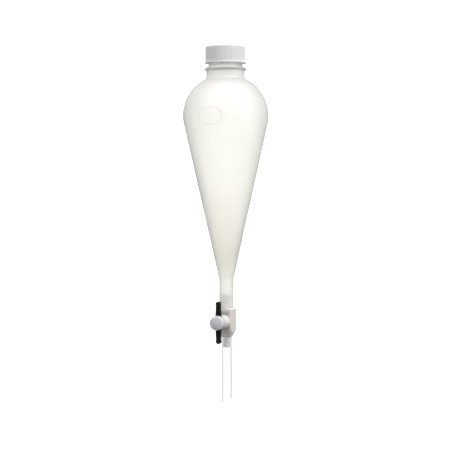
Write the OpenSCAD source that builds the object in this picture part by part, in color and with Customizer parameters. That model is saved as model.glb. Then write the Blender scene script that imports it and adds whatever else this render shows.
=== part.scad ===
// Plastic separatory funnel: a pear-shaped bowl with a screw cap, a plug stopcock and a clear drip tube.
// +Z runs up the funnel's axis. The origin is on the axis, level with the ring that carries the cone.
// The stopcock's handle and the oval panel are on the -Y side. All sizes are in millimetres.

/* [Bowl] */
// Largest outside radius of the bowl
bulb_r = 58; // [52:0.5:72]
// Radius of the bowl's curved shoulder, as seen from the side
shoulder_r = 55; // [44:0.5:58]
// Slope of the cone's side from the vertical, in degrees
cone_slope = 12.63; // [10.5:0.01:15.5]
// Outside radius of the cone at the support ring
seat_r = 40.2; // [34:0.1:46]
// Wall thickness of the bowl and the lower neck
wall = 2.4; // [1.8:0.1:3.2]
// Outside radius of the outlet tube
outlet_r = 9.65; // [9.4:0.05:12]
// Wall thickness of the outlet tube
outlet_wall = 1.6; // [1.2:0.05:1.9]
// Length of the straight outlet tube
outlet_len = 39; // [32:0.5:50]
// Blend radius between the cone and the outlet tube
outlet_blend = 20; // [10:1:40]

/* [Neck] */
// Outside radius of the neck under the flange
neck_r = 26; // [22:0.1:32]
// Height of the neck from the bowl to the flange's edge
neck_len = 13; // [11:0.5:18]
// Blend radius between the bowl and the neck
neck_blend = 4; // [2:0.5:6]
// How far the flange's edge stands out from the neck
flange_reach = 2.9; // [1.5:0.1:5]
// How much narrower the threaded mouth is than the neck, at the root of its thread
finish_step = 3.3; // [1:0.1:5]
// Height of the threaded mouth above the flange
finish_h = 23.5; // [22:0.5:32]
// Wall thickness of the threaded mouth
finish_wall = 2.3; // [1.8:0.1:3]

/* [Screw thread] */
// Rise of the thread in one turn
thread_pitch = 5; // [4.6:0.1:6]
// Number of turns on the neck and in the cap
thread_turns = 1.5; // [1:0.25:1.75]
// How far each thread stands out of its wall
thread_depth = 1.5; // [1:0.1:1.8]
// Height of the thread at its foot
thread_foot = 2.1; // [1.6:0.1:2.2]
// Height of the thread at its crest
thread_crest = 1; // [0.6:0.1:1.2]
// Radial gap between one piece's thread and the other's wall
thread_gap = 0.45; // [0.3:0.05:0.8]

/* [Cap] */
// Thickness of the cap's side wall, without the grip ribs
cap_wall = 2.2; // [1.8:0.1:3]
// Thickness of the cap's top
cap_top = 2.4; // [1.8:0.1:3.5]
// Open height between the closed cap and the top of the flange
cap_gap = 4.1; // [3:0.1:6]
// Number of grip ribs round the cap
rib_count = 72; // [36:1:96]
// How far a grip rib stands out
rib_depth = 0.45; // [0.3:0.05:0.8]
// Radius of the cap's upper edge
cap_edge = 2.2; // [1:0.1:2.4]
// How far the plain lip stands out from the ribs
lip_reach = 0.6; // [0.2:0.1:1.5]
// Height of the plain lip
lip_h = 2; // [1:0.1:2.8]
// Thickness of the seal inside the cap
liner_t = 1.5; // [1:0.1:2.5]

/* [Oval panel] */
// Width of the oval outline
oval_w = 35; // [24:1:44]
// Height of the oval outline
oval_h = 24; // [18:1:32]
// How far the oval's middle is below the bulb's widest place
oval_drop = 2.8; // [0:0.1:6]
// Width of the raised line
oval_line = 1.1; // [0.8:0.1:2]
// How far the line stands out of the bowl
oval_rise = 0.5; // [0.3:0.1:1]

/* [Valve body] */
// How far the valve block stands out from the outlet tube on each side of the handle's axis
block_side = 1.25; // [0.3:0.05:3]
// How much shallower the valve block is along the handle's axis than it is wide
block_flat = 2.2; // [0:0.1:3]
// Height of the valve block
block_h = 38.9; // [35:0.1:46]
// Height of the block's tapered foot, at its corners
foot_h = 9.6; // [6:0.1:10]
// Corner radius of the block
block_edge = 2; // [1:0.1:3]
// Depth of the moulded pockets above and below the barrel
core_depth = 4.6; // [2:0.1:5]
// Wall left on each side of the pockets
core_wall = 4; // [2:0.1:5]
// Height of the plug's axis above the block's underside
plug_rise = 21.4; // [18.5:0.1:24]
// Wall thickness of the barrel round the plug
barrel_wall = 2.85; // [2.4:0.05:3.4]
// Length of the barrel in front of the block
barrel_len = 15.6; // [12:0.1:20]
// Length of the upper spigot inside the outlet tube
spigot_len = 20.9; // [18:0.1:26]
// Length of the barbed lower spigot inside the drip tube
barb_len = 14; // [10:0.5:20]
// Number of barbs on the lower spigot
barb_count = 4; // [2:1:6]
// Radius of the liquid channel
channel_r = 2.8; // [2:0.1:3]
// Thickness of the flat gasket on the block
gasket_t = 1; // [0.6:0.1:2]

/* [Plug and handle] */
// Radius of the plug's shank
plug_r = 5.6; // [4.8:0.05:6.8]
// Radius of the plug's round head
head_r = 9.5; // [8:0.1:11]
// Length of the plug's head
head_len = 8; // [6:0.1:12]
// Height of the head's domed face
head_dome = 1.1; // [0.5:0.1:2]
// Overall length of the handle
handle_len = 57; // [44:0.5:70]
// Thickness of the handle
handle_t = 5; // [3.5:0.1:7]
// Width of the handle's arms beside the hub
arm_root_w = 8.4; // [7:0.1:9]
// Width of the handle's arms before their round ends
arm_neck_w = 5.8; // [5:0.1:6.6]
// Radius of the handle's round ends
arm_end_r = 3.5; // [3.3:0.1:4.5]
// Thickness of each flat washer on the plug
washer_t = 1; // [0.6:0.1:1.6]
// How much thinner the threaded rear end of the plug is than its shank, on each side
stud_step = 1.6; // [1:0.1:2]
// Wall of the tension nut, from its bore to its flats
nut_wall = 2; // [1.2:0.1:3]
// Thickness of the tension nut
nut_t = 4.5; // [3:0.1:6]

/* [O-rings] */
// Thickness of the rings round the upper spigot
spigot_ring_d = 1.8; // [1.2:0.1:2.2]
// Thickness of the rings round the plug
plug_ring_d = 1.5; // [1:0.1:1.8]
// Thickness of the rubber ring under the tension nut
tension_ring_d = 2.2; // [1.5:0.1:3]

/* [Drip tube] */
// Outside radius of the drip tube
tube_r = 6.95; // [6.6:0.05:8]
// Wall thickness of the drip tube
tube_wall = 1.5; // [1:0.05:1.6]
// Length of the drip tube to its longest point
tube_len = 90; // [60:1:120]
// Slope of the drip tube's cut end from the level, in degrees
tube_bevel = 27; // [10:1:45]

/* [Fits] */
// Running gap round the turning plug and its washers
run_gap = 0.05; // [0.02:0.01:0.1]
// Gap at the seals and push fits, which stay still
seal_gap = 0.02; // [0.01:0.01:0.05]
// Gap round loose pieces such as the cap's seal
loose_gap = 0.3; // [0.2:0.05:0.6]

/* [Hidden] */
$fn = 96;

// Overrun that carries a cut past the face it opens
cut = 1;
// How deep a raised feature is rooted in the wall that carries it
root = 0.8;

// Bowl: the shoulder is an arc that runs straight on into the cone
shoulder_in = bulb_r - shoulder_r;
cone_join_r = shoulder_in + shoulder_r * cos(cone_slope);
bulb_z = shoulder_r * sin(cone_slope) + (cone_join_r - seat_r) / tan(cone_slope);
blend_x = neck_r + neck_blend;
blend_rise = sqrt(pow(shoulder_r + neck_blend, 2) - pow(blend_x - shoulder_in, 2));
blend_a = atan2(blend_rise, blend_x - shoulder_in);
outlet_x = outlet_r + outlet_blend;
outlet_z = (outlet_r + outlet_blend * (1 - cos(cone_slope)) - seat_r) / tan(cone_slope)
           - outlet_blend * sin(cone_slope);
outlet_end = (outlet_r - seat_r) / tan(cone_slope) - outlet_len;
bore_r = outlet_r - outlet_wall;
bore_top = (bore_r - seat_r + wall / cos(cone_slope)) / tan(cone_slope);

// Neck, from the bowl up to the rim
finish_r = neck_r - finish_step;
dome_top = bulb_z + sqrt(pow(shoulder_r, 2) - pow(neck_r - shoulder_in, 2));
flange_z = dome_top + neck_len;
flange_r = neck_r + flange_reach;
flange_droop = 3.5;
flange_edge = 0.7;
finish_z = flange_z + flange_droop;
rim_z = finish_z + finish_h;
mouth_r = finish_r - finish_wall;
rim_round = 0.8;

// Thread and cap
crest_r = finish_r + thread_depth;
cap_bore_r = crest_r + thread_gap;
cap_crest_r = cap_bore_r - thread_depth;
cap_side_r = cap_bore_r + cap_wall;
cap_r = cap_side_r + rib_depth;
cap_z = finish_z + cap_gap;
liner_z = rim_z;
cap_h = liner_z + liner_t + cap_top - cap_z;
cap_thread_z = cap_z + lip_h + thread_foot / 2 + 0.4;
neck_thread_z = cap_thread_z + thread_pitch / 2;
thread_steps = 30;
thread_fade = 3;
fade_start = 0.6;

// Stopcock
block_w = 2 * (outlet_r + block_side);
block_d = block_w - block_flat;
block_top = outlet_end - gasket_t;
block_z = block_top - block_h;
plug_z = block_z + plug_rise;
barrel_end = block_d / 2 + barrel_len;
foot_r = tube_r + 0.15;
core_top = 3.8;
core_foot = 1.5;
corner_r = norm([block_w / 2 - block_edge, block_d / 2 - block_edge]) + block_edge;
foot_flare = (corner_r - foot_r) / foot_h;
shank_end = barrel_end + run_gap + washer_t;
head_start = shank_end + handle_t;
plug_bore_r = plug_r + run_gap;
barrel_r = plug_bore_r + barrel_wall;
stud_r = plug_r - stud_step;
key_w = 3.2;
key_reach = plug_r + 1.2;
hub_r = plug_r + 2;
washer_r = plug_r + 1.8;
nut_af = 2 * (stud_r + nut_wall);
spigot_r = bore_r - 0.1;
spigot_waist = 4.5;
spigot_waist_r = spigot_r - 0.9;
mouth_depth = 2.5;
spigot_grooves = [0.42, 0.74];
barb_r = tube_r - tube_wall - seal_gap;
barb_root_r = barb_r - 0.7;
plug_grooves = [-6.4, 6.4, 17];
groove_slack = 0.5;
rear_face = block_d / 2 + run_gap;
ring_face = rear_face + washer_t;
nut_face = ring_face + tension_ring_d;
stud_end = nut_face + nut_t + 1;

// Points along an arc about [x, z]
function arc(x, z, r, from, to, n) =
  [for (i = [0:n]) let (a = from + (to - from) * i / n) [x + r * cos(a), z + r * sin(a)]];

function reversed(v) = [for (i = [len(v) - 1:-1:0]) v[i]];

// Edge of the bowl from the cone up to the neck, at depth t inside its outer face
function bowl_edge(t) = concat(
  arc(shoulder_in, bulb_z, shoulder_r - t, -cone_slope, blend_a, 14),
  arc(blend_x, bulb_z + blend_rise, neck_blend + t, blend_a + 180, 180, 4));

// Corners of a rectangle with rounded corners, centred on the origin
function rounded_box(w, d, r) = concat(
  arc(w / 2 - r, d / 2 - r, r, 0, 90, 4), arc(r - w / 2, d / 2 - r, r, 90, 180, 4),
  arc(r - w / 2, r - d / 2, r, 180, 270, 4), arc(w / 2 - r, r - d / 2, r, 270, 360, 4));

// Flat ring from z = 0 up
module ring(outer, inner, h) {
  difference() {
    cylinder(r = outer, h = h);
    translate([0, 0, -cut]) cylinder(r = inner, h = h + 2 * cut);
  }
}

// Round-section ring whose outer edge is at radius outer
module o_ring(outer, d) {
  rotate_extrude() translate([outer - d / 2, 0]) circle(d = d, $fn = 24);
}

// Places a piece built along +Z on the plug's axis, so that +Z runs out to the front
module on_plug() {
  translate([0, 0, plug_z]) rotate([90, 0, 0]) children();
}

// Right-hand screw thread from foot radius foot_r to crest radius top_r, fading out at both ends
module thread(foot_r, top_r, z) {
  n = thread_turns * thread_steps;
  foot = thread_foot / 2;
  crest = thread_crest / 2;
  points = [for (i = [0:n])
    let (a = 360 * i / thread_steps,
         c = z + thread_pitch * i / thread_steps,
         full = min(1, (i + fade_start) / thread_fade, (n - i + fade_start) / thread_fade),
         r = foot_r + (top_r - foot_r) * full)
    for (p = [[foot_r, -foot], [r, -crest], [r, crest], [foot_r, foot]])
      [p[0] * cos(a), p[0] * sin(a), c + p[1]]];
  sides = [for (i = [0:n - 1], k = [0:3])
    let (p = 4 * i + k, q = 4 * i + (k + 1) % 4)
    for (f = [[p, q, q + 4], [p, q + 4, p + 4]]) top_r > foot_r ? f : reversed(f)];
  ends = [[0, 3, 2, 1], [4 * n, 4 * n + 1, 4 * n + 2, 4 * n + 3]];
  polyhedron(points = points, faces = concat(sides, [for (f = ends) top_r > foot_r ? f : reversed(f)]));
}

module funnel_body() {
  color([0.95, 0.95, 0.93]) union() {
    rotate_extrude() polygon(concat(
      [[bore_r, outlet_end], [outlet_r, outlet_end]],
      arc(outlet_x, outlet_z, outlet_blend, 180, 180 - cone_slope, 3),
      bowl_edge(0),
      [[neck_r, flange_z - 2.3], [flange_r - 0.2, flange_z - flange_edge], [flange_r, flange_z],
       [flange_r - 0.5, flange_z + flange_edge], [finish_r, finish_z],
       [finish_r, rim_z - rim_round], [finish_r - rim_round, rim_z], [mouth_r + rim_round / 2, rim_z],
       [mouth_r, rim_z - rim_round / 2], [mouth_r, flange_z + 0.8], [neck_r - wall, flange_z - 2.4]],
      reversed(bowl_edge(wall)),
      [[bore_r, bore_top]]));
    thread(finish_r - root, crest_r, neck_thread_z);
    oval_ring();
  }
}

// Raised oval line that follows the bowl's curve
module oval_ring() {
  intersection() {
    translate([0, 0, bulb_z - oval_drop]) rotate([90, 0, 0]) linear_extrude(bulb_r + 2 * oval_rise)
      difference() {
        oval(oval_w, oval_h);
        oval(oval_w - 2 * oval_line, oval_h - 2 * oval_line);
      }
    rotate_extrude() polygon(concat(
      arc(shoulder_in, bulb_z, shoulder_r + oval_rise, -25, 25, 8),
      arc(shoulder_in, bulb_z, shoulder_r - root, 25, -25, 8)));
  }
}

module oval(w, h) {
  polygon([for (i = [0:47]) [w / 2 * cos(i * 7.5), h / 2 * sin(i * 7.5)]]);
}

module screw_cap() {
  color([0.9, 0.91, 0.91]) translate([0, 0, cap_z]) {
    difference() {
      union() {
        intersection() {
          linear_extrude(cap_h) rib_outline();
          rotate_extrude() polygon(concat([[0, 0], [cap_r + 1, 0]],
            [[cap_r, lip_h]], arc(cap_r - cap_edge, cap_h - cap_edge, cap_edge, 0, 90, 5), [[0, cap_h]]));
        }
        rotate_extrude() polygon([[cap_bore_r, 0], [cap_r + lip_reach - 0.3, 0], [cap_r + lip_reach, 0.4],
          [cap_r + lip_reach, lip_h / 2], [cap_side_r, lip_h], [cap_bore_r, lip_h]]);
      }
      translate([0, 0, -cut]) cylinder(r = cap_bore_r, h = cap_h - cap_top + cut);
    }
    thread(cap_bore_r + root, cap_crest_r, cap_thread_z - cap_z);
  }
}

// Outline of the cap's side with its grip ribs
module rib_outline() {
  step = 360 / rib_count;
  polygon([for (i = [0:rib_count - 1], p = [[-0.34, 0], [-0.16, 1], [0.16, 1], [0.34, 0]])
    let (r = cap_side_r + rib_depth * p[1], a = (i + p[0]) * step) [r * cos(a), r * sin(a)]]);
}

module cap_liner() {
  color([0.96, 0.96, 0.96]) translate([0, 0, liner_z]) cylinder(r = cap_bore_r - loose_gap, h = liner_t);
}

module outlet_gasket() {
  color([0.93, 0.93, 0.9]) translate([0, 0, block_top])
    ring(outlet_r, spigot_waist_r + loose_gap, gasket_t);
}

module spigot_o_rings() {
  color([0.88, 0.88, 0.86])
    for (g = spigot_grooves)
      translate([0, 0, block_top + g * spigot_len]) o_ring(bore_r - seal_gap, spigot_ring_d);
}

module valve_body() {
  color([0.88, 0.86, 0.83]) difference() {
    union() {
      translate([0, 0, block_z]) difference() {
        valve_block();
        block_cores();
      }
      on_plug() cylinder(r = barrel_r, h = barrel_end);
      translate([0, 0, block_top]) upper_spigot();
      translate([0, 0, block_z]) lower_spigot();
    }
    on_plug() translate([0, 0, -block_d]) cylinder(r = plug_bore_r, h = block_d + barrel_end + cut);
    translate([0, 0, block_z - barb_len - cut])
      cylinder(r = channel_r, h = barb_len + block_h + spigot_len + 2 * cut);
    translate([0, 0, block_top + spigot_len - mouth_depth])
      cylinder(r1 = channel_r, r2 = spigot_r - 1, h = mouth_depth + seal_gap);
  }
}

// Upright block with rounded corners and a conical foot that narrows to the drip tube's width
module valve_block() {
  intersection() {
    linear_extrude(block_h) polygon(rounded_box(block_w, block_d, block_edge));
    cylinder(r1 = foot_r, r2 = foot_r + foot_flare * block_h, h = block_h);
  }
}

// Pockets moulded into the block's front face, up to the barrel
module block_cores() {
  core_w = block_w - 2 * core_wall;
  translate([0, core_depth - block_d / 2, 0]) rotate([90, 0, 0]) linear_extrude(core_depth + cut)
    difference() {
      translate([-core_w / 2, core_foot]) square([core_w, block_h - core_top - core_foot]);
      translate([0, plug_rise]) circle(r = barrel_r);
    }
}

// Spigot that fills the outlet tube, with a waist at its foot and a groove for each ring
module upper_spigot() {
  difference() {
    rotate_extrude() polygon([[0, -root], [spigot_waist_r, -root], [spigot_waist_r, spigot_waist],
      [spigot_r, spigot_waist + 0.9], [spigot_r, spigot_len - 0.8], [spigot_r - 0.8, spigot_len],
      [0, spigot_len]]);
    for (g = spigot_grooves)
      translate([0, 0, g * spigot_len - (spigot_ring_d + groove_slack) / 2])
        ring(spigot_r + cut, bore_r - spigot_ring_d - 2 * seal_gap, spigot_ring_d + groove_slack);
  }
}

// Spigot with a row of barbs that grip the drip tube
module lower_spigot() {
  step = barb_len / barb_count;
  barb = [[barb_root_r, 0], [barb_root_r, 0.3], [barb_r, 0.35], [barb_r, 0.5]];
  rotate_extrude() polygon(concat([[0, root], [barb_root_r, root]],
    [for (i = [0:barb_count - 1], p = barb) [p[0], -step * (i + p[1])]],
    [[barb_root_r, -barb_len], [0, -barb_len]]));
}

module plug() {
  color([0.92, 0.92, 0.93]) on_plug() {
    difference() {
      union() {
        translate([0, 0, -rear_face]) cylinder(r = plug_r, h = rear_face + head_start + root);
        translate([0, 0, -stud_end]) cylinder(r = stud_r, h = stud_end);
        translate([0, 0, shank_end + run_gap]) linear_extrude(handle_t) key(key_w, key_reach);
        plug_head();
      }
      rotate([90, 0, 0]) translate([0, 0, -plug_r - cut]) cylinder(r = channel_r, h = 2 * (plug_r + cut));
      for (g = plug_grooves)
        translate([0, 0, g - (plug_ring_d + groove_slack) / 2])
          ring(plug_r + cut, plug_bore_r - plug_ring_d - 2 * seal_gap, plug_ring_d + groove_slack);
    }
  }
}

// Round head with a rounded edge and a domed face
module plug_head() {
  edge = 1.4;
  face_r = head_r - edge;
  dome_r = (face_r * face_r + head_dome * head_dome) / (2 * head_dome);
  dome_a = asin(face_r / dome_r);
  rotate_extrude() polygon(concat([[0, head_start], [head_r - 0.5, head_start], [head_r, head_start + 0.5]],
    arc(face_r, head_start + head_len - head_dome - edge, edge, 0, 60, 4),
    arc(0, head_start + head_len - dome_r, dome_r, 90 - dome_a, 90, 5)));
}

// Cross that locks the handle to the plug
module key(w, reach) {
  square([2 * reach, w], center = true);
  square([w, 2 * reach], center = true);
}

module plug_o_rings() {
  color([0.88, 0.88, 0.86]) on_plug()
    for (g = plug_grooves) translate([0, 0, g]) o_ring(plug_bore_r - seal_gap, plug_ring_d);
}

module handle() {
  rib = 1.1;
  pocket = 0.8;
  color([0.13, 0.13, 0.12]) on_plug() translate([0, 0, shank_end]) difference() {
    linear_extrude(handle_t) handle_outline();
    for (turn = [0, 180], z = [-cut, handle_t - pocket])
      translate([0, 0, z]) rotate(turn) linear_extrude(pocket + cut) difference() {
        handle_pocket(rib);
        translate([-rib / 2, 0]) square([rib, handle_len]);
      }
    translate([0, 0, -cut]) cylinder(r = plug_r + seal_gap, h = handle_t + 2 * cut);
    translate([0, 0, -cut]) linear_extrude(handle_t + 2 * cut)
      key(key_w + 2 * seal_gap, key_reach + seal_gap);
  }
}

// Hub, two tapering arms and a round end on each
module handle_outline() {
  end_y = handle_len / 2 - arm_end_r;
  circle(r = hub_r);
  for (turn = [0, 180]) rotate(turn) {
    polygon([[-arm_root_w / 2, 0], [arm_root_w / 2, 0], [arm_neck_w / 2, end_y], [-arm_neck_w / 2, end_y]]);
    translate([0, end_y]) circle(r = arm_end_r);
  }
}

// Shallow pocket along one arm, inside a rim
module handle_pocket(rim) {
  start = hub_r + 0.6;
  stop = handle_len / 2 - 2 * arm_end_r;
  polygon([[rim - arm_root_w / 2, start], [arm_root_w / 2 - rim, start],
    [arm_neck_w / 2 - rim, stop], [rim - arm_neck_w / 2, stop]]);
}

module thrust_washer() {
  color([0.96, 0.96, 0.96]) on_plug() translate([0, 0, barrel_end + run_gap])
    ring(washer_r, plug_r + seal_gap, washer_t);
}

module rear_washer() {
  color([0.96, 0.96, 0.96]) on_plug() translate([0, 0, -ring_face])
    ring(washer_r, stud_r + seal_gap, washer_t);
}

module tension_ring() {
  color([0.88, 0.88, 0.86]) on_plug() translate([0, 0, -ring_face - tension_ring_d / 2])
    o_ring(stud_r + seal_gap + tension_ring_d, tension_ring_d);
}

module tension_nut() {
  color([0.9, 0.9, 0.9]) on_plug() translate([0, 0, -nut_face - nut_t]) difference() {
    cylinder(d = nut_af / cos(30), h = nut_t, $fn = 6);
    translate([0, 0, -cut]) cylinder(r = stud_r + seal_gap, h = nut_t + 2 * cut);
  }
}

module drip_tube() {
  color([0.85, 0.9, 0.92, 0.4]) difference() {
    translate([0, 0, block_z - tube_len]) ring(tube_r, tube_r - tube_wall, tube_len);
    translate([-tube_r, 0, block_z - tube_len]) rotate([0, -tube_bevel, 0])
      translate([-2 * tube_r, -2 * tube_r, -4 * tube_r]) cube([8 * tube_r, 4 * tube_r, 4 * tube_r]);
  }
}

funnel_body();
screw_cap();
cap_liner();
outlet_gasket();
spigot_o_rings();
valve_body();
plug();
plug_o_rings();
handle();
thrust_washer();
rear_washer();
tension_ring();
tension_nut();
drip_tube();
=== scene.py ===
"""Looks of a plastic separatory funnel: bowl, screw cap, plug stopcock and drip tube.

Lengths named here are millimetres in the CAD's frame: +Z up the axis, the stopcock's handle towards -Y.
"""

import math

import bmesh
import bpy
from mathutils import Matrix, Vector

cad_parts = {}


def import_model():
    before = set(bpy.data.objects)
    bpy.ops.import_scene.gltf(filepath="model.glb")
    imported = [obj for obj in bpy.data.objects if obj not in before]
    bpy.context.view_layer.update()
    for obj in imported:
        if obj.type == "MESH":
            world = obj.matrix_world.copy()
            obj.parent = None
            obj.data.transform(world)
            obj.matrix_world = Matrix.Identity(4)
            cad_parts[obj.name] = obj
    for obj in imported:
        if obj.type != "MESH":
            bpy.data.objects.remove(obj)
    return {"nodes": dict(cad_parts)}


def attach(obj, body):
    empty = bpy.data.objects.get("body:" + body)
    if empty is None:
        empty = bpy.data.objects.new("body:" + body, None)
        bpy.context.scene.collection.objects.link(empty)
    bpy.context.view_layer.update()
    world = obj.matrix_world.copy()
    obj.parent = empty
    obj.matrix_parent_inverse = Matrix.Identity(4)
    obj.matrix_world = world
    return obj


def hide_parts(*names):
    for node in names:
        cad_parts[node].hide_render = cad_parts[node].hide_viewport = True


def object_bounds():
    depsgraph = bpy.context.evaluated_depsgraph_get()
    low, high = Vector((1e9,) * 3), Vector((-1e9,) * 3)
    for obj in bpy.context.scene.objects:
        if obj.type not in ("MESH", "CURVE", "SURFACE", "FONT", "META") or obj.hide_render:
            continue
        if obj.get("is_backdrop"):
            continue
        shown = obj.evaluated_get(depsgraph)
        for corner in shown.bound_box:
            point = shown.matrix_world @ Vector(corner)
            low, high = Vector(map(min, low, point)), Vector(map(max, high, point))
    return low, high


MM = 0.001

# Bowl and neck
BULB_R = 58.0
SHOULDER_R = 55.0
CONE_SLOPE = 12.63
SEAT_R = 40.2
WALL = 2.4
OUTLET_R = 9.65
OUTLET_BORE = 8.05
OUTLET_BLEND = 20.0
OUTLET_END = -175.34
NECK_R = 26.0
NECK_BLEND = 4.0
FLANGE_R = 28.9
FLANGE_Z = 148.46
FINISH_R = 22.7
FINISH_Z = 151.96
MOUTH_R = 20.4
RIM_Z = 175.46

# Screw thread
PITCH = 5.0
TURNS = 1.5
THREAD_DEPTH = 1.5
THREAD_FOOT = 2.1
THREAD_CREST = 1.0
NECK_THREAD_Z = 162.01
CAP_THREAD_Z = 159.51
# Heights between which the rows are close together, for the thread
NECK_BAND = (160.6, 171.2)
CAP_BAND = (158.0, 168.6)

# Cap
CAP_Z = 156.06
CAP_TOP = 179.38
CAP_CEILING = 176.98
CAP_BORE = 24.65
CAP_R = 27.3
CAP_EDGE = 2.2
RIBS = 72
RIB_DEPTH = 0.45
LIP_REACH = 0.6
LIP_H = 2.0

# Oval panel
OVAL_HALF_W = 16.95
OVAL_HALF_H = 11.45
OVAL_LINE = 0.62
OVAL_RISE = 0.5
OVAL_DROP = 2.8
# Where the panel's close rows end, in degrees up the shoulder from the widest line
PANEL_TOP = 13.2

# Valve body
BLOCK_X = 10.9
BLOCK_Y = 9.8
BLOCK_EDGE = 2.0
BLOCK_TOP = -176.34
BLOCK_Z = -215.24
FOOT_R = 7.1
FOOT_FLARE = 0.7015
POCKET_X = 6.9
POCKET_FLOOR = 5.2
POCKET_LOW = 1.5
POCKET_HIGH = 35.1
PLUG_Z = -193.84
BARREL_R = 8.5
BARREL_END = 25.4
PLUG_BORE = 5.65
CHANNEL_R = 2.8
SPIGOT_R = 7.95
SPIGOT_END = -155.44
SPIGOT_GROOVES = (0.42, 0.74)
SPIGOT_FLOOR = 6.21
BARB_END = -229.24
BARBS = 4
BARB_ROOT = 4.73
BARB_R = 5.42

# Plug and handle
PLUG_R = 5.6
STUD_R = 4.0
STUD_END = -18.55
SHANK_REAR = -9.85
HEAD_START = 31.45
HEAD_END = 39.45
HEAD_R = 9.5
GROOVES = (-6.4, 6.4, 17.0)
GROOVE_FLOOR = 4.11
HANDLE_FRONT = 31.45
HANDLE_BACK = 26.45
HUB_R = 7.6
ARM_ROOT = 4.2
ARM_NECK = 2.9
ARM_END_R = 3.5
ARM_END_AT = 25.0
NUT_HALF = 6.0
NUT_FACE = 13.05
NUT_END = 17.55

# Drip tube
TUBE_R = 6.95
TUBE_WALL = 1.5
TUBE_END = -305.24
TUBE_BEVEL = 27.0

# Light from the surroundings, from straight down (0) to straight up (1), and beside the backdrop
SKY = [(0.0, 0.05), (0.45, 0.15), (0.55, 0.4), (1.0, 1.2)]
SIDE_LIGHT = 1.25
# The backdrop is lit past white
BACKDROP = 1.36


# ---------------------------------------------------------------- shapes

def arc(x, z, r, start, stop, n):
    """Points on an arc about (x, z), from start to stop degrees."""
    turns = [math.radians(start + (stop - start) * i / n) for i in range(n + 1)]
    return [(x + r * math.cos(a), z + r * math.sin(a)) for a in turns]


def line(a, b, step):
    """Points from a up to but not including b, at most step apart."""
    n = max(1, math.ceil(math.dist(a, b) / step))
    return [tuple(p + (q - p) * i / n for p, q in zip(a, b)) for i in range(n)]


def even(n):
    """n angles round a full turn."""
    return [2 * math.pi * i / n for i in range(n)]


def upright(r, a, h):
    """A point at radius r, angle a and height h on the funnel's axis."""
    return r * math.cos(a), r * math.sin(a), h


def along_plug(r, a, h):
    """The same on the plug's axis, with h measured towards the front."""
    return r * math.cos(a), -h, PLUG_Z + r * math.sin(a)


def skin(rings, loop):
    """A mesh through rings of points. A ring of one point is a pole. loop joins the last to the first."""
    bm = bmesh.new()
    made = [[bm.verts.new(Vector(p) * MM) for p in ring] for ring in rings]
    pairs = list(zip(made, made[1:])) + ([(made[-1], made[0])] if loop else [])
    for low, high in pairs:
        n = max(len(low), len(high))
        for i in range(n if n > 1 else 0):
            j = (i + 1) % n
            corners = [low[i % len(low)], low[j % len(low)], high[j % len(high)], high[i % len(high)]]
            bm.faces.new(list(dict.fromkeys(corners)))
    bmesh.ops.recalc_face_normals(bm, faces=bm.faces)
    return bm


def piece(name, bm, sharp=38):
    """An object for a finished bmesh, smooth except at edges sharper than the angle given."""
    mesh = bpy.data.meshes.new(name)
    bm.to_mesh(mesh)
    bm.free()
    mesh.shade_smooth()
    mesh.set_sharp_from_angle(angle=math.radians(sharp))
    obj = bpy.data.objects.new(name, mesh)
    bpy.context.scene.collection.objects.link(obj)
    return obj


def turned(name, rows, angles, place=upright, shape=None, loop=True, sharp=38):
    """A turned piece. rows are its section's points. shape may change the radius at a row and angle."""
    rings = []
    for r, h in rows:
        if r == 0:
            rings.append([place(0, 0, h)])
        else:
            rings.append([place(shape(r, a, h) if shape else r, a, h) for a in angles])
    return piece(name, skin(rings, loop), sharp)


def combine(obj, other, operation):
    """Joins or cuts obj with other, which is used up."""
    step = obj.modifiers.new(operation, "BOOLEAN")
    step.operation = operation
    step.object = other
    step.solver = "EXACT"
    depsgraph = bpy.context.evaluated_depsgraph_get()
    mesh = bpy.data.meshes.new_from_object(obj.evaluated_get(depsgraph))
    obj.modifiers.remove(step)
    obj.data = mesh
    bpy.data.objects.remove(other)
    return obj


def resharpen(obj, sharp):
    """Sets smooth shading again after a cut."""
    obj.data.shade_smooth()
    obj.data.set_sharp_from_angle(angle=math.radians(sharp))
    return obj


def soft_max(a, b, width):
    """The larger of a and b, rounded where they cross."""
    gap = max(width - abs(a - b), 0) / width
    return max(a, b) + gap * gap * width / 4


def soft_min(a, b, width):
    return -soft_max(-a, -b, width)


def clamped(v):
    return min(1.0, max(0.0, v))


def eased(v):
    v = clamped(v)
    return v * v * (3 - 2 * v)


def thread_share(a, z, start_z):
    """How far the thread stands out at an angle and height, from 0 to 1."""
    best = 0.0
    for lap in range(math.ceil(TURNS)):
        turn = (a % (2 * math.pi)) / (2 * math.pi) + lap
        if turn > TURNS + 0.02:
            continue
        off = abs(z - start_z - PITCH * turn)
        side = (THREAD_FOOT / 2 - off) / (THREAD_FOOT / 2 - THREAD_CREST / 2)
        ends = min(turn, TURNS - turn) / 0.1 + 0.2
        best = max(best, eased(side) * clamped(ends))
    return best


# ---------------------------------------------------------------- bowl

def bowl_edge(depth, fine):
    """The bowl's section from the cone to the neck, at a depth in the wall. fine is the panel's spacing."""
    in_x = BULB_R - SHOULDER_R
    bulb_z = bulb_height()
    blend_x = NECK_R + NECK_BLEND
    rise = math.sqrt((SHOULDER_R + NECK_BLEND) ** 2 - (blend_x - in_x) ** 2)
    top = math.degrees(math.atan2(rise, blend_x - in_x))
    r = SHOULDER_R - depth
    dense = max(4, round(math.radians(CONE_SLOPE + PANEL_TOP) * SHOULDER_R / fine))
    return (arc(in_x, bulb_z, r, -CONE_SLOPE, PANEL_TOP, dense)
            + arc(in_x, bulb_z, r, PANEL_TOP, top, 26)[1:]
            + arc(blend_x, bulb_z + rise, NECK_BLEND + depth, top + 180, 180, 8)[1:])


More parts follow.
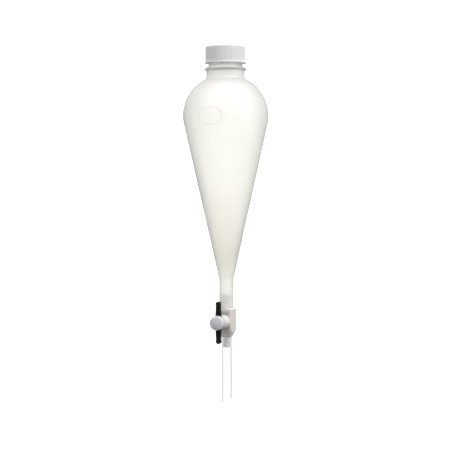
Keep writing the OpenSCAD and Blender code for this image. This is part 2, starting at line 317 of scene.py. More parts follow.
def bulb_height():
    """Height of the bowl's widest line."""
    slope = math.radians(CONE_SLOPE)
    join = BULB_R - SHOULDER_R + SHOULDER_R * math.cos(slope)
    return SHOULDER_R * math.sin(slope) + (join - SEAT_R) / math.tan(slope)


def bowl_rows():
    """The whole section of the one-piece bowl, outside up and inside down."""
    slope = math.radians(CONE_SLOPE)
    outlet_x = OUTLET_R + OUTLET_BLEND
    outlet_z = ((OUTLET_R + OUTLET_BLEND * (1 - math.cos(slope)) - SEAT_R) / math.tan(slope)
                - OUTLET_BLEND * math.sin(slope))
    blend = arc(outlet_x, outlet_z, OUTLET_BLEND, 180, 180 - CONE_SLOPE, 8)
    outside = bowl_edge(0, 0.3)
    inside = bowl_edge(WALL, 1.6)[::-1]
    bore_top = (OUTLET_BORE - SEAT_R + WALL / math.cos(slope)) / math.tan(slope)
    rows = [(OUTLET_BORE + 0.25, OUTLET_END), (OUTLET_R - 0.3, OUTLET_END),
            (OUTLET_R - 0.09, OUTLET_END + 0.09)]
    rows += line((OUTLET_R, OUTLET_END + 0.3), blend[0], 6) + blend[:-1]
    panel_foot = tuple(q + (p - q) * 0.04 for p, q in zip(blend[-1], outside[0]))
    rows += line(blend[-1], panel_foot, 6) + line(panel_foot, outside[0], 0.3) + outside
    rows += line((NECK_R, outside[-1][1] + 1), (NECK_R, FLANGE_Z - 3.0), 2)
    rows += arc(NECK_R + 0.7, FLANGE_Z - 3.0, 0.7, 180, 150, 2)
    rows += [(FLANGE_R - 0.55, FLANGE_Z - 1.05), (FLANGE_R - 0.2, FLANGE_Z - 0.7),
             (FLANGE_R, FLANGE_Z - 0.25), (FLANGE_R, FLANGE_Z + 0.1), (FLANGE_R - 0.15, FLANGE_Z + 0.45),
             (FLANGE_R - 0.5, FLANGE_Z + 0.7)]
    rows += [(FINISH_R + 0.9, FINISH_Z - 0.4), (FINISH_R + 0.25, FINISH_Z + 0.05), (FINISH_R, FINISH_Z + 0.7)]
    low, high = NECK_BAND
    rows += line((FINISH_R, FINISH_Z + 2), (FINISH_R, low - 0.2), 2)
    rows += line((FINISH_R, low), (FINISH_R, high), 0.3)
    rows += line((FINISH_R, high + 0.2), (FINISH_R, RIM_Z - 0.8), 2)
    rows += arc(FINISH_R - 0.8, RIM_Z - 0.8, 0.8, 0, 90, 5)
    rows += arc(MOUTH_R + 0.5, RIM_Z - 0.5, 0.5, 90, 180, 4)
    rows += line((MOUTH_R, RIM_Z - 1.5), (MOUTH_R, FLANGE_Z + 0.9), 4)
    rows += [(MOUTH_R, FLANGE_Z + 0.8), (NECK_R - WALL, FLANGE_Z - 2.4)]
    rows += inside + line(inside[-1], (OUTLET_BORE, bore_top), 6)[1:]
    rows += line((OUTLET_BORE, bore_top), (OUTLET_BORE, OUTLET_END + 0.25), 6)
    rows += [(OUTLET_BORE, OUTLET_END + 0.25)]
    return rows


def bowl_angles():
    """Angles round the bowl, close together across the panel on the front."""
    half = math.radians(19.5)
    front = -math.pi / 2
    dense, coarse = 136, 110
    near = [front - half + 2 * half * i / dense for i in range(dense)]
    far = [front + half + (2 * math.pi - 2 * half) * i / coarse for i in range(coarse)]
    return near + far


def panel_share(x, dz):
    """How far the oval line stands out, from 0 to 1, at a point of the front given from the oval's centre."""
    reach = math.hypot(x / OVAL_HALF_W, dz / OVAL_HALF_H)
    if reach < 0.5:
        return 0.0
    steep = math.hypot(x / OVAL_HALF_W ** 2, dz / OVAL_HALF_H ** 2) / reach
    t = (reach - 1) / steep / OVAL_LINE
    return (1 - t * t) ** 0.7 if abs(t) < 1 else 0.0


def bowl():
    centre = bulb_height()

    def shape(r, a, z):
        if abs(r - FINISH_R) < 0.01 and NECK_BAND[0] - 0.6 < z < NECK_BAND[1] + 0.8:
            return r + THREAD_DEPTH * thread_share(a, z, NECK_THREAD_Z)
        if r > 52 and abs(z - centre) < 18 and math.sin(a) < -0.9:
            edge = BULB_R - SHOULDER_R + math.sqrt(SHOULDER_R ** 2 - (z - centre) ** 2)
            if abs(r - edge) < 1:
                return r + OVAL_RISE * panel_share(r * math.cos(a), z - centre + OVAL_DROP)
        return r

    obj = turned("bowl", bowl_rows(), bowl_angles(), shape=shape, sharp=50)
    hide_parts("funnel_body")
    return obj


# ---------------------------------------------------------------- cap

def cap_rows():
    side = CAP_R
    corner = arc(side - CAP_EDGE, CAP_TOP - CAP_EDGE, CAP_EDGE, 0, 90, 9)
    rows = [(CAP_BORE + 0.3, CAP_Z), (side + LIP_REACH - 0.35, CAP_Z),
            (side + LIP_REACH - 0.1, CAP_Z + 0.1), (side + LIP_REACH, CAP_Z + 0.35),
            (side + LIP_REACH, CAP_Z + LIP_H / 2), (side + LIP_REACH - 0.2, CAP_Z + LIP_H / 2 + 0.25),
            (side - 0.1, CAP_Z + LIP_H - 0.15), (side, CAP_Z + LIP_H + 0.2)]
    rows += line((side, CAP_Z + LIP_H + 0.8), corner[0], 3) + corner
    rows += [(20, CAP_TOP), (10, CAP_TOP), (3, CAP_TOP), (0, CAP_TOP), (0, CAP_CEILING),
             (3, CAP_CEILING), (10, CAP_CEILING), (20, CAP_CEILING), (CAP_BORE - 0.5, CAP_CEILING),
             (CAP_BORE - 0.1, CAP_CEILING - 0.15), (CAP_BORE, CAP_CEILING - 0.5)]
    low, high = CAP_BAND
    rows += line((CAP_BORE, CAP_CEILING - 2), (CAP_BORE, high + 0.4), 2)
    rows += line((CAP_BORE, high), (CAP_BORE, low), 0.3)
    rows += [(CAP_BORE, low - 0.1), (CAP_BORE, CAP_Z + 0.3)]
    return rows


def rib_share(a):
    """How far the grip stands out at an angle, from 0 between two ribs to 1 on a rib."""
    off = abs((a * RIBS / (2 * math.pi) + 0.5) % 1 - 0.5)
    return eased((0.36 - off) / 0.2)


def cap():
    def shape(r, a, z):
        if abs(r - CAP_BORE) < 0.01 and z < CAP_CEILING - 1:
            return r - THREAD_DEPTH * thread_share(a, z, CAP_THREAD_Z)
        if r > CAP_R - CAP_EDGE - 0.5 and z > CAP_Z + LIP_H:
            fade = eased((CAP_TOP - z) / CAP_EDGE) * eased((z - CAP_Z - LIP_H) / 0.8)
            return r - RIB_DEPTH * (1 - rib_share(a)) * fade
        return r

    obj = turned("screw_cap_shell", cap_rows(), even(RIBS * 9), shape=shape, sharp=45)
    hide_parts("screw_cap")
    return obj


# ---------------------------------------------------------------- valve

def boxed(half_x, half_y, edge, a):
    """Distance from the axis to the side of a rectangle with round corners, at an angle."""
    c, s = abs(math.cos(a)), abs(math.sin(a))
    flat = min(half_x / max(c, 1e-9), half_y / max(s, 1e-9))
    cx, cy = half_x - edge, half_y - edge
    if c * flat > cx and s * flat > cy:
        along = c * cx + s * cy
        return along + math.sqrt(max(along ** 2 - cx ** 2 - cy ** 2 + edge ** 2, 0))
    return flat


def block_rows():
    """The valve's upright section: barbed spigot, block and upper spigot round the liquid channel.
    A radius of 100 and over stands for the block's side, inset by what is above 100."""
    step = (BLOCK_Z - BARB_END) / BARBS
    rows = [(CHANNEL_R + 0.3, BARB_END), (BARB_ROOT - 0.33, BARB_END)]
    for i in range(BARBS):
        z = BARB_END + step * i
        rows += [(BARB_ROOT, z + 0.35), (BARB_ROOT, z + step * 0.48), (BARB_R - 0.06, z + step * 0.5),
                 (BARB_R, z + step * 0.54), (BARB_R, z + step * 0.64), (BARB_R - 0.06, z + step * 0.69)]
    rows += [(BARB_ROOT, BLOCK_Z), (FOOT_R - 0.5, BLOCK_Z), (FOOT_R - 0.1, BLOCK_Z + 0.15)]
    rows += [(100, z) for _, z in line((0, BLOCK_Z + 0.6), (0, BLOCK_Z + 10.5), 0.5)]
    rows += [(100, z) for _, z in line((0, BLOCK_Z + 10.8), (0, BLOCK_TOP - 1.2), 3)]
    rows += [(100 + 1.0 - c, BLOCK_TOP - 1.0 + s) for c, s in arc(0, 0, 1.0, 0, 90, 6)]
    waist = SPIGOT_R - 0.9
    rows += [(waist + 0.6, BLOCK_TOP), (waist + 0.15, BLOCK_TOP + 0.15), (waist, BLOCK_TOP + 0.6),
             (waist, BLOCK_TOP + 4.5), (SPIGOT_R, BLOCK_TOP + 5.4)]
    for at in SPIGOT_GROOVES:
        z = BLOCK_TOP + at * (SPIGOT_END - BLOCK_TOP)
        rows += [(SPIGOT_R, z - 1.15), (SPIGOT_FLOOR, z - 1.15),
                 (SPIGOT_FLOOR, z + 1.15), (SPIGOT_R, z + 1.15)]
    rows += [(SPIGOT_R, SPIGOT_END - 0.8)] + arc(SPIGOT_R - 0.8, SPIGOT_END - 0.8, 0.8, 15, 90, 4)
    rows += [(SPIGOT_R - 1.0, SPIGOT_END - 0.05), (CHANNEL_R, SPIGOT_END - 2.5), (CHANNEL_R, BARB_END + 0.3)]
    return rows


def block_side(r, a, z):
    if r < 100:
        return r
    inset = r - 100
    side = boxed(BLOCK_X - inset, BLOCK_Y - inset, BLOCK_EDGE - inset, a)
    return soft_min(side, FOOT_R + FOOT_FLARE * (z - BLOCK_Z), 0.5)


def pocket():
    """A cutter for the moulded pocket in the block's front face, which the barrel then crosses."""
    low, high = BLOCK_Z + POCKET_LOW, BLOCK_Z + POCKET_HIGH

    def ring(inset, depth):
        points = []
        for x, z, start in ((1, high, 0), (-1, high, 90), (-1, low, 180), (1, low, 270)):
            side = 1 if z == high else -1
            points += arc(x * (POCKET_X - inset - 1.6), z - side * (inset + 1.6), 1.6, start, start + 90, 6)
        return [(x, -depth, z) for x, z in points]

    middle = (low + high) / 2
    rings = [[(0, -POCKET_FLOOR, middle)]]
    rings += [ring(inset, depth) for inset, depth in (
        (0.9, POCKET_FLOOR), (0.5, POCKET_FLOOR + 0.12), (0.3, POCKET_FLOOR + 0.4), (0.0, BLOCK_Y - 0.4),
        (-0.1, BLOCK_Y - 0.15), (-0.4, BLOCK_Y + 0.1), (-0.4, BLOCK_Y + 3))]
    return piece("pocket", skin(rings + [[(0, -BLOCK_Y - 3, middle)]], loop=False))


def barrel():
    """The round housing that carries the plug, with a fillet where it leaves the block."""
    fillet = arc(BARREL_R + 0.6, BLOCK_Y + 0.6, 0.6, 268, 180, 5)
    rows = [(0, 2), (BARREL_R + 0.6, 2), (BARREL_R + 0.6, BLOCK_Y - 0.2)] + fillet
    rows += line((BARREL_R, BLOCK_Y + 2), (BARREL_R, BARREL_END - 0.7), 4)
    rows += arc(BARREL_R - 0.6, BARREL_END - 0.6, 0.6, 0, 90, 5) + [(0, BARREL_END)]
    return turned("barrel", rows, even(96), along_plug, loop=False)


def valve_body():
    obj = turned("valve_housing", block_rows(), even(160), shape=block_side)
    obj = combine(obj, pocket(), "DIFFERENCE")
    obj = combine(obj, barrel(), "UNION")
    bore = turned("bore", [(0, -30), (PLUG_BORE, -30), (PLUG_BORE, 40), (0, 40)], even(96),
                  along_plug, loop=False)
    obj = combine(obj, bore, "DIFFERENCE")
    resharpen(obj, 32)
    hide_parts("valve_body")
    return obj


# ---------------------------------------------------------------- plug, handle and nut

def plug_rows():
    rows = [(0, STUD_END), (STUD_R - 0.6, STUD_END), (STUD_R, STUD_END + 0.6), (STUD_R, SHANK_REAR - 0.02),
            (PLUG_R - 0.3, SHANK_REAR), (PLUG_R, SHANK_REAR + 0.3)]
    for at in GROOVES:
        rows += [(PLUG_R, at - 1), (GROOVE_FLOOR, at - 1), (GROOVE_FLOOR, at + 1), (PLUG_R, at + 1)]
    rows += [(PLUG_R, HANDLE_BACK), (PLUG_R, HEAD_START), (HEAD_R - 0.5, HEAD_START),
             (HEAD_R - 0.1, HEAD_START + 0.12), (HEAD_R, HEAD_START + 0.5)]
    edge, dome = 1.5, 1.1
    face = HEAD_R - edge
    round_r = (face * face + dome * dome) / (2 * dome)
    span = math.degrees(math.asin(face / round_r))
    rows += line((HEAD_R, HEAD_START + 2), (HEAD_R, HEAD_END - dome - edge), 2)
    rows += arc(face, HEAD_END - dome - edge, edge, 0, 90 - span, 8)
    rows += arc(0, HEAD_END - round_r, round_r, 90 - span, 90, 9)[1:-1] + [(0, HEAD_END)]
    return rows


def plug():
    obj = turned("stopcock_plug", plug_rows(), even(96), along_plug, loop=False)
    channel = turned("channel", [(0, PLUG_Z - 9), (CHANNEL_R, PLUG_Z - 9), (CHANNEL_R, PLUG_Z + 9),
                                 (0, PLUG_Z + 9)], even(48), loop=False)
    resharpen(combine(obj, channel, "DIFFERENCE"), 38)
    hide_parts("plug")
    return obj


def arm_half(v):
    """Half the handle's width at v along it from the hub."""
    v = abs(v)
    hub = math.sqrt(max(HUB_R ** 2 - v ** 2, 0))
    arm = ARM_ROOT - (ARM_ROOT - ARM_NECK) * v / ARM_END_AT if v < ARM_END_AT else 0
    end = math.sqrt(max(ARM_END_R ** 2 - (v - ARM_END_AT) ** 2, 0))
    if v > ARM_END_AT:
        return end
    return soft_max(soft_max(hub, arm, 1.2), end, 0.5)


def handle_stations():
    """Places along one arm, from the hub out to the tip."""
    hub = [HUB_R * math.sin(math.radians(t)) for t in range(0, 66, 6)]
    arm = [v for v, _ in line((8.2, 0), (22.6, 0), 0.4)]
    end = [ARM_END_AT + ARM_END_R * math.sin(math.radians(t)) for t in range(-54, 90, 6)]
    return hub + arm + end + [ARM_END_AT + ARM_END_R - 0.004]


def pocket_depth(v):
    """Depth of the pockets beside the middle rib at v along an arm."""
    v = abs(v)
    return 0.8 * eased((v - 9.2) / 0.5) * eased((22.4 - v) / 0.5)


def handle_section(v):
    """Points round the handle's section at v, as (across, depth towards the front)."""
    half, mid = arm_half(v), (HANDLE_FRONT + HANDLE_BACK) / 2
    thick = (HANDLE_FRONT - HANDLE_BACK) / 2
    edge = min(0.7, half * 0.6)
    rim = min(1.15, half * 0.38)
    rib = min(0.6, half * 0.2)
    low = thick - pocket_depth(v)
    wall = min(0.25, half * 0.06)
    face = [(half - edge + edge * math.sin(t), thick - edge + edge * math.cos(t))
            for t in (math.radians(d) for d in range(90, -1, -18))]
    face += [(half - rim, thick), (half - rim - wall, low), (rib + wall, low), (rib, thick)]
    front = face + [(-x, d) for x, d in reversed(face)]
    return [(x, mid + d) for x, d in front] + [(-x, mid - d) for x, d in front]


def handle():
    arm = handle_stations()
    stations = [-v for v in reversed(arm[1:])] + arm
    rings = [[(x, -d, PLUG_Z + v) for x, d in handle_section(v)] for v in stations]
    mid = -(HANDLE_FRONT + HANDLE_BACK) / 2
    tip = ARM_END_AT + ARM_END_R
    rings = [[(0, mid, PLUG_Z - tip)]] + rings + [[(0, mid, PLUG_Z + tip)]]
    obj = piece("handle_lever", skin(rings, loop=False), 30)
    bore = turned("bore", [(0, 20), (PLUG_R + 0.02, 20), (PLUG_R + 0.02, 40), (0, 40)], even(72),
                  along_plug, loop=False)
    combine(obj, bore, "DIFFERENCE")
    for side in (-1, 1):
        for face in (HANDLE_FRONT, HANDLE_BACK):
            combine(obj, dimple(side * ARM_END_AT, face), "DIFFERENCE")
    resharpen(obj, 30)
    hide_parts("handle")
    return obj


def dimple(v, face):
    """A cutter for the shallow dish in an arm's round end, mirrored where it cuts the handle's back."""
    def place(r, a, h):
        return r * math.cos(a), -face - h, PLUG_Z + v + r * math.sin(a)

    shares = (0.3, 0.5, 0.65, 0.8, 0.9, 1)
    rows = [(0, -0.45)] + [(2.1 * t, -0.45 + 0.9 * t ** 3) for t in shares] + [(0, 0.45)]
    obj = turned("dimple", rows, even(40), place, loop=False)
    if face == HANDLE_BACK:
        for corner in obj.data.vertices:
            corner.co.y = -2 * face * MM - corner.co.y
        obj.data.flip_normals()
    return obj


def nut():
    def shape(r, a, h):
        if r < 5:
            return r
        return min(hexed(a), r)
    top, low = -NUT_END, -NUT_FACE
    rows = [(STUD_R + 0.4, top), (6.2, top), (7.0, top + 0.45), (7.0, low - 0.45), (6.2, low),
            (STUD_R + 0.4, low), (STUD_R + 0.05, low - 0.35), (STUD_R + 0.05, top + 0.35)]
    obj = turned("hex_nut", rows, even(144), along_plug, shape=shape, sharp=25)
    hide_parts("tension_nut")
    return obj


def hexed(a):
    """Distance from the axis to a hexagon's side, with a corner at angle 0."""
    return NUT_HALF / math.cos(a % (math.pi / 3) - math.pi / 6)


# ---------------------------------------------------------------- drip tube

def drip_tube():
    """A clear tube whose lower end is cut on the slant and lightly rounded."""
    tilt = math.tan(math.radians(TUBE_BEVEL))
    inner = TUBE_R - TUBE_WALL
    ends = [(-0.02, 0.25), (-0.08, 0.1), (-0.25, 0.0)]
    shares = [i / 16 for i in range(1, 16)]
    rows = [(TUBE_R, t, 0.0) for t in shares]
    rows += [(TUBE_R + d, 1.0, up) for d, up in ends]
    rows += [(inner - d, 1.0, up) for d, up in reversed(ends)]
    rows += [(inner, t, 0.0) for t in reversed(shares)]
    rows += [(inner - d, 0.0, -up) for d, up in ends]
    rows += [(TUBE_R + d, 0.0, -up) for d, up in reversed(ends)]
    rings = []
    for r, t, up in rows:
        ring = []
        for a in even(96):
            x, y = r * math.cos(a), r * math.sin(a)
            end = TUBE_END + (x + TUBE_R) * tilt
            ring.append((x, y, BLOCK_Z + t * (end - BLOCK_Z) + up))
        rings.append(ring)
    obj = piece("drip_tube_clear", skin(rings, loop=True), 60)
    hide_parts("drip_tube")
    return obj


# ---------------------------------------------------------------- materials

def joined(nodes, link, operation, a, b=None):
    """A maths node on a socket and, where it takes two, another socket or a number."""
    node = nodes.new("ShaderNodeMath")
    node.operation = operation
    link(a, node.inputs[0])
    if isinstance(b, float):
        node.inputs[1].default_value = b
    elif b is not None:
        link(b, node.inputs[1])
    return node.outputs[0]


class Look:
    """A procedural material on one Principled shader, built in the object's own coordinates."""

    def __init__(self, name, roughness):
        self.material = bpy.data.materials.new(name)
        self.material.use_nodes = True
        self.nodes = self.material.node_tree.nodes
        self.link = self.material.node_tree.links.new
        self.shader = self.nodes["Principled BSDF"]
        self.shader.inputs["Roughness"].default_value = roughness
        self.coords = self.nodes.new("ShaderNodeTexCoord").outputs["Object"]

    def set(self, **values):
        for key, value in values.items():
            self.shader.inputs[key.replace("_", " ").title().replace("Ior", "IOR")].default_value = value
        return self

    def absorb(self, colour, density):
        """Light lost inside the wall, so that it shows where the wall is seen edge on."""
        inside = self.nodes.new("ShaderNodeVolumeAbsorption")
        inside.inputs["Color"].default_value = (*colour, 1)
        inside.inputs["Density"].default_value = density
        self.link(inside.outputs["Volume"], self.nodes["Material Output"].inputs["Volume"])
        return self

    def noise(self, scale, detail=3.0, stretch=(1, 1, 1)):
        """Noise from 0 to 1. scale is in features a metre, and stretch squeezes it along each axis."""
        mapping = self.nodes.new("ShaderNodeMapping")
        mapping.inputs["Scale"].default_value = stretch
        texture = self.nodes.new("ShaderNodeTexNoise")
        texture.inputs["Scale"].default_value = scale
        texture.inputs["Detail"].default_value = detail
        self.link(self.coords, mapping.inputs["Vector"])
        self.link(mapping.outputs["Vector"], texture.inputs["Vector"])
        return texture.outputs["Fac"]

    def height(self, low, high):
        """0 at height low and 1 at height high, in metres."""
        parts = self.nodes.new("ShaderNodeSeparateXYZ")
        self.link(self.coords, parts.inputs["Vector"])
        return self.between(parts.outputs["Z"], low, high, 0, 1)

    def between(self, source, low, high, to_low, to_high):
        """A number carried from one range to another."""
        node = self.nodes.new("ShaderNodeMapRange")
        self.link(source, node.inputs["Value"])
        for key, value in (("From Min", low), ("From Max", high), ("To Min", to_low), ("To Max", to_high)):
            node.inputs[key].default_value = value
        return node.outputs["Result"]

    def oval_line(self):
        """1 along the raised oval on the front and 0 elsewhere: the mask for a darker line there, which is
        partly the thicker plastic and partly painted shade of the ridge.
        """
        mapping = self.nodes.new("ShaderNodeMapping")
        mapping.inputs["Scale"].default_value = (1 / (OVAL_HALF_W * MM), 0, 1 / (OVAL_HALF_H * MM))
        mapping.inputs["Location"].default_value = (0, 0, -(bulb_height() - OVAL_DROP) / OVAL_HALF_H)
        reach = self.nodes.new("ShaderNodeVectorMath")
        reach.operation = "LENGTH"
        self.link(self.coords, mapping.inputs["Vector"])
        self.link(mapping.outputs["Vector"], reach.inputs[0])
        parts = self.nodes.new("ShaderNodeSeparateXYZ")
        self.link(self.coords, parts.inputs["Vector"])
        off = self.maths("ABSOLUTE", self.maths("SUBTRACT", reach.outputs["Value"], 1.0))
        line = self.between(off, 0.025, 0.055, 1, 0)
        return self.maths("MULTIPLY", line, self.maths("LESS_THAN", parts.outputs["Y"], 0.0))

    def maths(self, operation, a, b=None):
        return joined(self.nodes, self.link, operation, a, b)

    def ramp(self, source, stops):
        """Colours along a number from 0 to 1."""
        node = self.nodes.new("ShaderNodeValToRGB")
        elements = node.color_ramp.elements
        while len(elements) < len(stops):
            elements.new(0.5)
        for element, (at, colour) in zip(elements, stops):
            element.position = at
            element.color = (*colour, 1)
        self.link(source, node.inputs["Fac"])
        return node.outputs["Color"]

    def tinted(self, base, source, dark, light):
        """base multiplied by a colour between dark and light."""
        mix = self.nodes.new("ShaderNodeMix")
        mix.data_type = "RGBA"
        mix.blend_type = "MULTIPLY"
        mix.inputs["Factor"].default_value = 1
        self.link(base, mix.inputs["A"])
        self.link(self.ramp(source, [(0.3, dark), (0.7, light)]), mix.inputs["B"])
        return mix.outputs["Result"]

    def colour(self, source):
        self.link(source, self.shader.inputs["Base Color"])
        return self

    def rough(self, source, low, high):
        self.link(self.between(source, 0.25, 0.75, low, high), self.shader.inputs["Roughness"])
        return self

    def bump(self, source, depth, under=None):
        """Bumps up to depth metres high, on top of those of under."""
        node = self.nodes.new("ShaderNodeBump")
        node.inputs["Strength"].default_value = 1
        node.inputs["Distance"].default_value = depth
        self.link(source, node.inputs["Height"])
        if under is not None:
            self.link(under, node.inputs["Normal"])
        self.link(node.outputs["Normal"], self.shader.inputs["Normal"])
        return node.outputs["Normal"]

    def on(self, obj, slot):
        obj.data.materials.clear()
        obj.data.materials.append(self.material)


def bowl_look():
    look = Look("translucent_plastic", 0.45)
    look.set(transmission_weight=0.85, ior=1.35, coat_weight=0.5, coat_roughness=0.16)
    look.absorb((0.8, 0.79, 0.74), 8)
    # Tone by height: the darker, yellower band low on the cone is painted shade; the middle of the cone is
    # near-white and the top a little greyer.
    tone = look.ramp(look.height(-0.175, 0.175),
                     [(0.0, (0.97, 0.965, 0.945)), (0.1, (0.94, 0.93, 0.895)), (0.177, (0.875, 0.868, 0.825)),
                      (0.3, (0.935, 0.925, 0.89)), (0.5, (0.998, 0.992, 0.962)),
                      (0.6, (0.998, 0.992, 0.962)), (0.75, (0.995, 0.99, 0.97)),
                      (0.85, (0.96, 0.955, 0.945)), (1.0, (0.96, 0.955, 0.945))])
    cloudy = look.tinted(tone, look.noise(14, 2), (0.985, 0.985, 0.98), (1, 1, 1))
    # The darker oval line is partly the thicker plastic and partly painted shade of the raised ridge.
    look.colour(look.tinted(cloudy, look.oval_line(), (1, 1, 1), (0.86, 0.86, 0.855)))
    look.rough(look.noise(60, 3), 0.44, 0.54)
    waves = look.bump(look.noise(38, 2, (1, 1, 0.5)), 0.00025)
    look.bump(look.noise(900, 2), 0.00002, waves)
    return look


def cap_look():
    look = Look("cap_plastic", 0.4)
    look.set(transmission_weight=0.25, ior=1.35, coat_weight=0.3, coat_roughness=0.2)
    tone = look.ramp(look.noise(40, 3), [(0.3, (0.97, 0.972, 0.97)), (0.7, (0.99, 0.992, 0.99))])
    look.colour(tone)
    look.rough(look.noise(120, 3), 0.34, 0.46)
    look.bump(look.noise(1200, 3), 0.00003)
    return look


def valve_look():
    look = Look("warm_moulded_plastic", 0.4).set(subsurface_weight=0.25, subsurface_scale=0.003)
    look.shader.inputs["Subsurface Radius"].default_value = (1.0, 0.75, 0.55)
    # Tone by height: the barbs below the block are painted darker grey as shade, and the upper spigot above
    # the block is painted near-white as light; the block between has the plastic's own warm colour.
    tone = look.ramp(look.height(-0.23, -0.155), [(0.17, (0.6, 0.595, 0.59)), (0.2, (0.88, 0.85, 0.81)),
                                                  (0.7, (0.88, 0.85, 0.81)), (0.75, (0.99, 0.985, 0.975))])
    look.colour(look.tinted(tone, look.noise(90, 3), (0.94, 0.94, 0.935), (1, 1, 1)))
    look.rough(look.noise(300, 3), 0.34, 0.48)
    look.bump(look.noise(1500, 3), 0.00003)
    return look


def waxy_look(name="waxy_white", dark=(0.74, 0.74, 0.75), light=(0.8, 0.8, 0.805)):
    look = Look(name, 0.35).set(subsurface_weight=0.3, subsurface_scale=0.003)
    look.colour(look.ramp(look.noise(120, 3), [(0.3, dark), (0.7, light)]))
    look.rough(look.noise(260, 3), 0.3, 0.42)
    look.bump(look.noise(800, 4), 0.00004)
    return look


def black_look():
    look = Look("black_plastic", 0.35).set(specular_ior_level=0.3)
    look.colour(look.ramp(look.noise(200, 4), [(0.3, (0.009, 0.009, 0.008)), (0.7, (0.016, 0.016, 0.014))]))
    look.rough(look.noise(420, 3), 0.3, 0.46)
    look.bump(look.noise(1800, 3), 0.00004)
    return look


def clear_look():
    look = Look("clear_tube_wall", 0.02).set(transmission_weight=1.0, ior=1.14)
    look.absorb((0.35, 0.37, 0.38), 135)
    look.colour(look.ramp(look.noise(30, 2), [(0.3, (0.975, 0.985, 0.985)), (0.7, (0.995, 1.0, 1.0))]))
    look.rough(look.noise(80, 2), 0.0, 0.004)
    look.bump(look.noise(40, 0, (1, 1, 0.3)), 0.000004)
    return look


# ---------------------------------------------------------------- light, floor and camera

def world():
    """A bright-field studio: white behind the object and a softer sky as light.

    A ray let through by three surfaces or more meets the backdrop, and one let through by fewer meets
    the light from beside it."""
    made = bpy.data.worlds.new("studio")
    bpy.context.scene.world = made
    made.use_nodes = True
    nodes, link = made.node_tree.nodes, made.node_tree.links.new
    backdrop = nodes["Background"]
    backdrop.inputs["Color"].default_value = (1, 1, 1, 1)
    backdrop.inputs["Strength"].default_value = BACKDROP
    path = nodes.new("ShaderNodeLightPath")
    through = joined(nodes, link, "GREATER_THAN", path.outputs["Transmission Depth"], 2.5)
    refracted = path.outputs["Is Transmission Ray"]
    seen = joined(nodes, link, "MAXIMUM", path.outputs["Is Camera Ray"],
                  joined(nodes, link, "MULTIPLY", through, refracted))
    sides = nodes.new("ShaderNodeBackground")
    sides.inputs["Color"].default_value = (*[SIDE_LIGHT] * 3, 1)
    sky = nodes.new("ShaderNodeBackground")
    link(sky_light(nodes, link), sky.inputs["Color"])
    light = nodes.new("ShaderNodeMixShader")
    link(refracted, light.inputs["Fac"])
    link(sky.outputs["Background"], light.inputs[1])
    link(sides.outputs["Background"], light.inputs[2])
    mix = nodes.new("ShaderNodeMixShader")
    link(seen, mix.inputs["Fac"])
    link(light.outputs["Shader"], mix.inputs[1])
    link(backdrop.outputs["Background"], mix.inputs[2])
    link(mix.outputs["Shader"], nodes["World Output"].inputs["Surface"])


def sky_light(nodes, link):
    """Light from the surroundings: strong from above, weak from below."""
    parts = nodes.new("ShaderNodeSeparateXYZ")
    ramp = nodes.new("ShaderNodeValToRGB")
    scaled = nodes.new("ShaderNodeMapRange")
    link(nodes.new("ShaderNodeTexCoord").outputs["Generated"], parts.inputs["Vector"])
    link(parts.outputs["Z"], scaled.inputs["Value"])
    scaled.inputs["From Min"].default_value = -1
    link(scaled.outputs["Result"], ramp.inputs["Fac"])
    elements = ramp.color_ramp.elements
    while len(elements) < len(SKY):
        elements.new(0.5)
    for element, (at, level) in zip(elements, SKY):
        element.position = at
        element.color = (level, level, level * 1.02, 1)
    return ramp.outputs["Color"]


def softbox(name, at, size, power, aim=(0, 0, 0)):
    data = bpy.data.lights.new(name, "AREA")
    data.shape = "RECTANGLE"
    data.size, data.size_y = size
    data.energy = power
    obj = bpy.data.objects.new(name, data)
    obj.location = at
    obj.rotation_euler = (Vector(aim) - Vector(at)).to_track_quat("-Z", "Y").to_euler()
    bpy.context.scene.collection.objects.link(obj)


def round_axis(azimuth, elevation, distance):
    """A place seen from the object at that azimuth, 0 towards -Y and 90 towards +X, and elevation."""
    a, e = math.radians(azimuth), math.radians(elevation)
    level = distance * math.cos(e)
    return level * math.sin(a), -level * math.cos(a), distance * math.sin(e)


def lights():
    softbox("key", round_axis(80, 34, 1.3), (0.35, 1.0), 9)
    softbox("fill", round_axis(-30, 50, 1.5), (0.6, 0.6), 3)
    softbox("top", (0, 0.1, 1.5), (0.9, 0.9), 5)


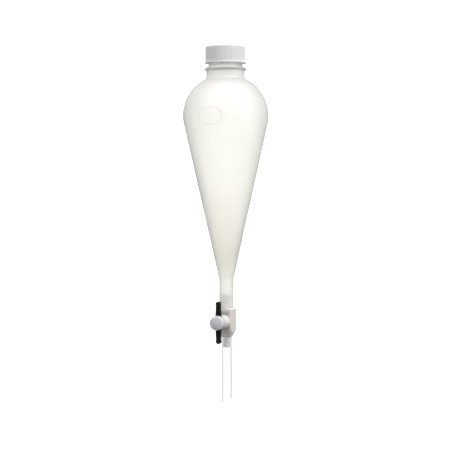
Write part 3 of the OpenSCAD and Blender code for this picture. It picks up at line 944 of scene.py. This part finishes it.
def floor(low):
    mesh = bpy.data.meshes.new("floor")
    side, z = 0.95, low - 0.145
    corners_at = [(-side, -side, z), (side, -side, z), (side, side, z), (-side, side, z)]
    mesh.from_pydata(corners_at, [], [(0, 1, 2, 3)])
    obj = bpy.data.objects.new("floor", mesh)
    bpy.context.scene.collection.objects.link(obj)
    material = bpy.data.materials.new("pale_floor")
    material.use_nodes = True
    nodes, link = material.node_tree.nodes, material.node_tree.links.new
    shader = nodes["Principled BSDF"]
    shader.inputs["Base Color"].default_value = (0.2, 0.2, 0.2, 1)
    shader.inputs["Roughness"].default_value = 0.9
    lit = nodes.new("ShaderNodeEmission")
    lit.inputs["Color"].default_value = (1, 1, 1, 1)
    lit.inputs["Strength"].default_value = BACKDROP
    mix = nodes.new("ShaderNodeMixShader")
    path = nodes.new("ShaderNodeLightPath")
    link(joined(nodes, link, "MAXIMUM", path.outputs["Is Camera Ray"], path.outputs["Is Transmission Ray"]),
         mix.inputs["Fac"])
    link(shader.outputs["BSDF"], mix.inputs[1])
    link(lit.outputs["Emission"], mix.inputs[2])
    link(mix.outputs["Shader"], nodes["Material Output"].inputs["Surface"])
    mesh.materials.append(material)
    obj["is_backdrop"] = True


def camera():
    """Level with the middle of the cone, a little to the right of the handle's side."""
    azimuth, distance, eye = 22.0, 1.9, -0.025
    slide, roll = 0.0016, -0.25
    aim = Vector((0, 0, -0.063))
    a = math.radians(azimuth)
    right = Vector((math.cos(a), math.sin(a), 0))
    aim -= right * slide
    data = bpy.data.cameras.new("camera")
    data.sensor_width = 36
    data.lens = 111.8
    obj = bpy.data.objects.new("camera", data)
    obj.location = Vector((math.sin(a), -math.cos(a), 0)) * distance - right * slide + Vector((0, 0, eye))
    obj.rotation_euler = (aim - obj.location).to_track_quat("-Z", "Y").to_euler()
    obj.rotation_euler.rotate_axis("Z", math.radians(roll))
    bpy.context.scene.collection.objects.link(obj)
    bpy.context.scene.camera = obj


# ---------------------------------------------------------------- the whole

def pieces(nodes):
    clear, body, valve = clear_look(), bowl_look(), valve_look()
    waxy, black = waxy_look(), black_look()
    white = waxy_look("white_washer", (0.82, 0.82, 0.82), (0.88, 0.88, 0.88))
    silicone = waxy_look("pale_silicone", (0.9, 0.9, 0.88), (0.95, 0.95, 0.93))
    made = [
        (bowl(), "funnel", body, "bowl"),
        (cap(), "cap", cap_look(), "cap"),
        (valve_body(), "funnel", valve, "valve"),
        (plug(), "stopcock", waxy, "fluoropolymer"),
        (handle(), "stopcock", black, "handle_black"),
        (nut(), "stopcock", valve, "valve"),
        (drip_tube(), "funnel", clear, "clear_tube"),
    ]
    for obj, body_name, look, slot in made:
        look.on(obj, slot)
        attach(obj, body_name)
    kept = {"cap_liner": (white, "liner"), "outlet_gasket": (white, "fluoropolymer"),
            "spigot_o_rings": (silicone, "seal_rubber"), "plug_o_rings": (silicone, "seal_rubber"),
            "thrust_washer": (white, "fluoropolymer"), "rear_washer": (white, "fluoropolymer"),
            "tension_ring": (silicone, "seal_rubber")}
    for name, (look, slot) in kept.items():
        look.on(nodes[name], slot)


def corners(bounds):
    return [list(map(float, corner)) for corner in bounds]


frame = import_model()
cad_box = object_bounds()
bpy.context.scene.view_settings.view_transform = "Standard"
world()
lights()
floor(cad_box[0].z)
camera()
pieces(frame["nodes"])
{"cad": corners(cad_box), "visual": corners(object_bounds())}
